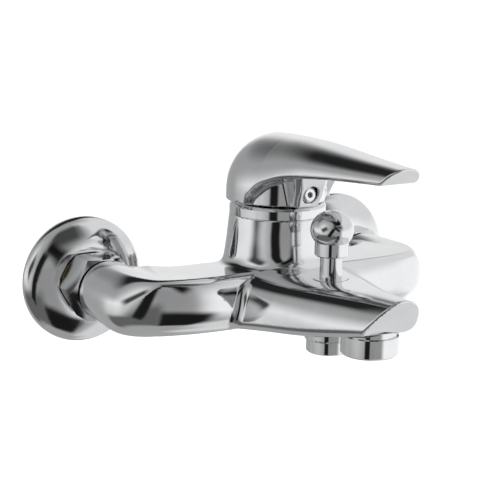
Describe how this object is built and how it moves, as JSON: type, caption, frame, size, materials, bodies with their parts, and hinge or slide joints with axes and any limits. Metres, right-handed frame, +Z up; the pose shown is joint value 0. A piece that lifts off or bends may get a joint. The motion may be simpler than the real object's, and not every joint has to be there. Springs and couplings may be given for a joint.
{
  "type": "wall mounted bath faucet",
  "caption": "Wall mounted bath mixer with a lever, ceramic disc cartridge, pull-up diverter knob, bath spout with aerator and a shower hose outlet.",
  "frame": {"origin": "midway between the two inlet axes, on the face of the finished wall", "axes": "+X along the wall to the right seen from the front, +Y into the wall, +Z up; the spout points along -Y"},
  "size_m": [0.213, 0.1807, 0.1099],
  "materials": {
    "chrome": "polished",
    "brass": "machined",
    "steel": "satin",
    "ceramic": "lapped",
    "rubber": "matte",
    "fibre": "matte",
    "plastic": "matte",
    "grey_plastic": "matte"
  },
  "bodies": {
    "faucet_body": {"mixer_body": "chrome", "escutcheon_screws": "steel", "cartridge_base": "plastic", "cartridge_seals": "rubber", "fixed_ceramic_disc": "ceramic", "cartridge_housing": "grey_plastic", "cartridge_nut": "brass", "collar_seal": "rubber", "trim_collar": "chrome", "diverter_bonnet": "chrome", "bonnet_seal": "rubber", "spindle_seal": "rubber", "shower_nipple": "chrome", "check_valve_body": "plastic", "aerator_housing": "chrome", "aerator_insert": "plastic", "aerator_screen": "steel", "aerator_washer": "rubber", "diverter_spring": "steel", "check_spring": "steel", "hot_union": "brass", "hot_escutcheon": "chrome", "hot_inlet_seat": "brass", "hot_union_washer": "fibre", "hot_inlet_strainer": "steel", "cold_union": "brass", "cold_escutcheon": "chrome", "cold_inlet_seat": "brass", "cold_union_washer": "fibre", "cold_inlet_strainer": "steel"},
    "guide": {"lever_guide": "grey_plastic", "guide_pin": "steel"},
    "disc": {"moving_ceramic_disc": "ceramic", "disc_carrier": "plastic"},
    "lever": {"lever_stem": "steel", "handle": "chrome", "handle_screw": "steel"},
    "hot_nut": {"hot_union_nut": "chrome"},
    "cold_nut": {"cold_union_nut": "chrome"},
    "diverter": {"diverter_knob": "chrome", "diverter_spindle": "brass", "diverter_washer": "rubber", "diverter_washer_nut": "brass"},
    "poppet": {"check_poppet": "plastic"}
  },
  "joints": [
    {"name": "lever_swivel", "type": "hinge", "parent": "faucet_body", "child": "guide", "pos_m": [0, -0.0623, 0.0245], "axis": [0, 0, 1], "range_deg": [-45, 45]},
    {"name": "lever_lift", "type": "hinge", "parent": "guide", "child": "lever", "pos_m": [0, -0.0623, 0.0245], "axis": [-1, 0, 0], "range_deg": [0, 22]},
    {"name": "disc_slide", "type": "slide", "parent": "guide", "child": "disc", "axis": [0, -1, 0], "range_m": [0, 0.0023]},
    {"name": "diverter_pull", "type": "slide", "parent": "faucet_body", "child": "diverter", "axis": [0, 0, 1], "range_m": [0, 0.009], "stiffness_N_per_m": 400, "springref_m": -0.006, "deforming": ["diverter_spring"]},
    {"name": "hot_nut_spin", "type": "hinge", "parent": "faucet_body", "child": "hot_nut", "pos_m": [-0.075, -0.02, 0], "axis": [0, 1, 0], "continuous": true},
    {"name": "cold_nut_spin", "type": "hinge", "parent": "faucet_body", "child": "cold_nut", "pos_m": [0.075, -0.02, 0], "axis": [0, 1, 0], "continuous": true},
    {"name": "check_valve_lift", "type": "slide", "parent": "faucet_body", "child": "poppet", "axis": [0, 0, -1], "range_m": [0, 0.0015], "stiffness_N_per_m": 60, "springref_m": -0.002, "deforming": ["check_spring"]}
  ],
  "couplings": [
    {"joint": "disc_slide", "follows": "lever_lift", "m_per_rad": 0.0057644}
  ]
}
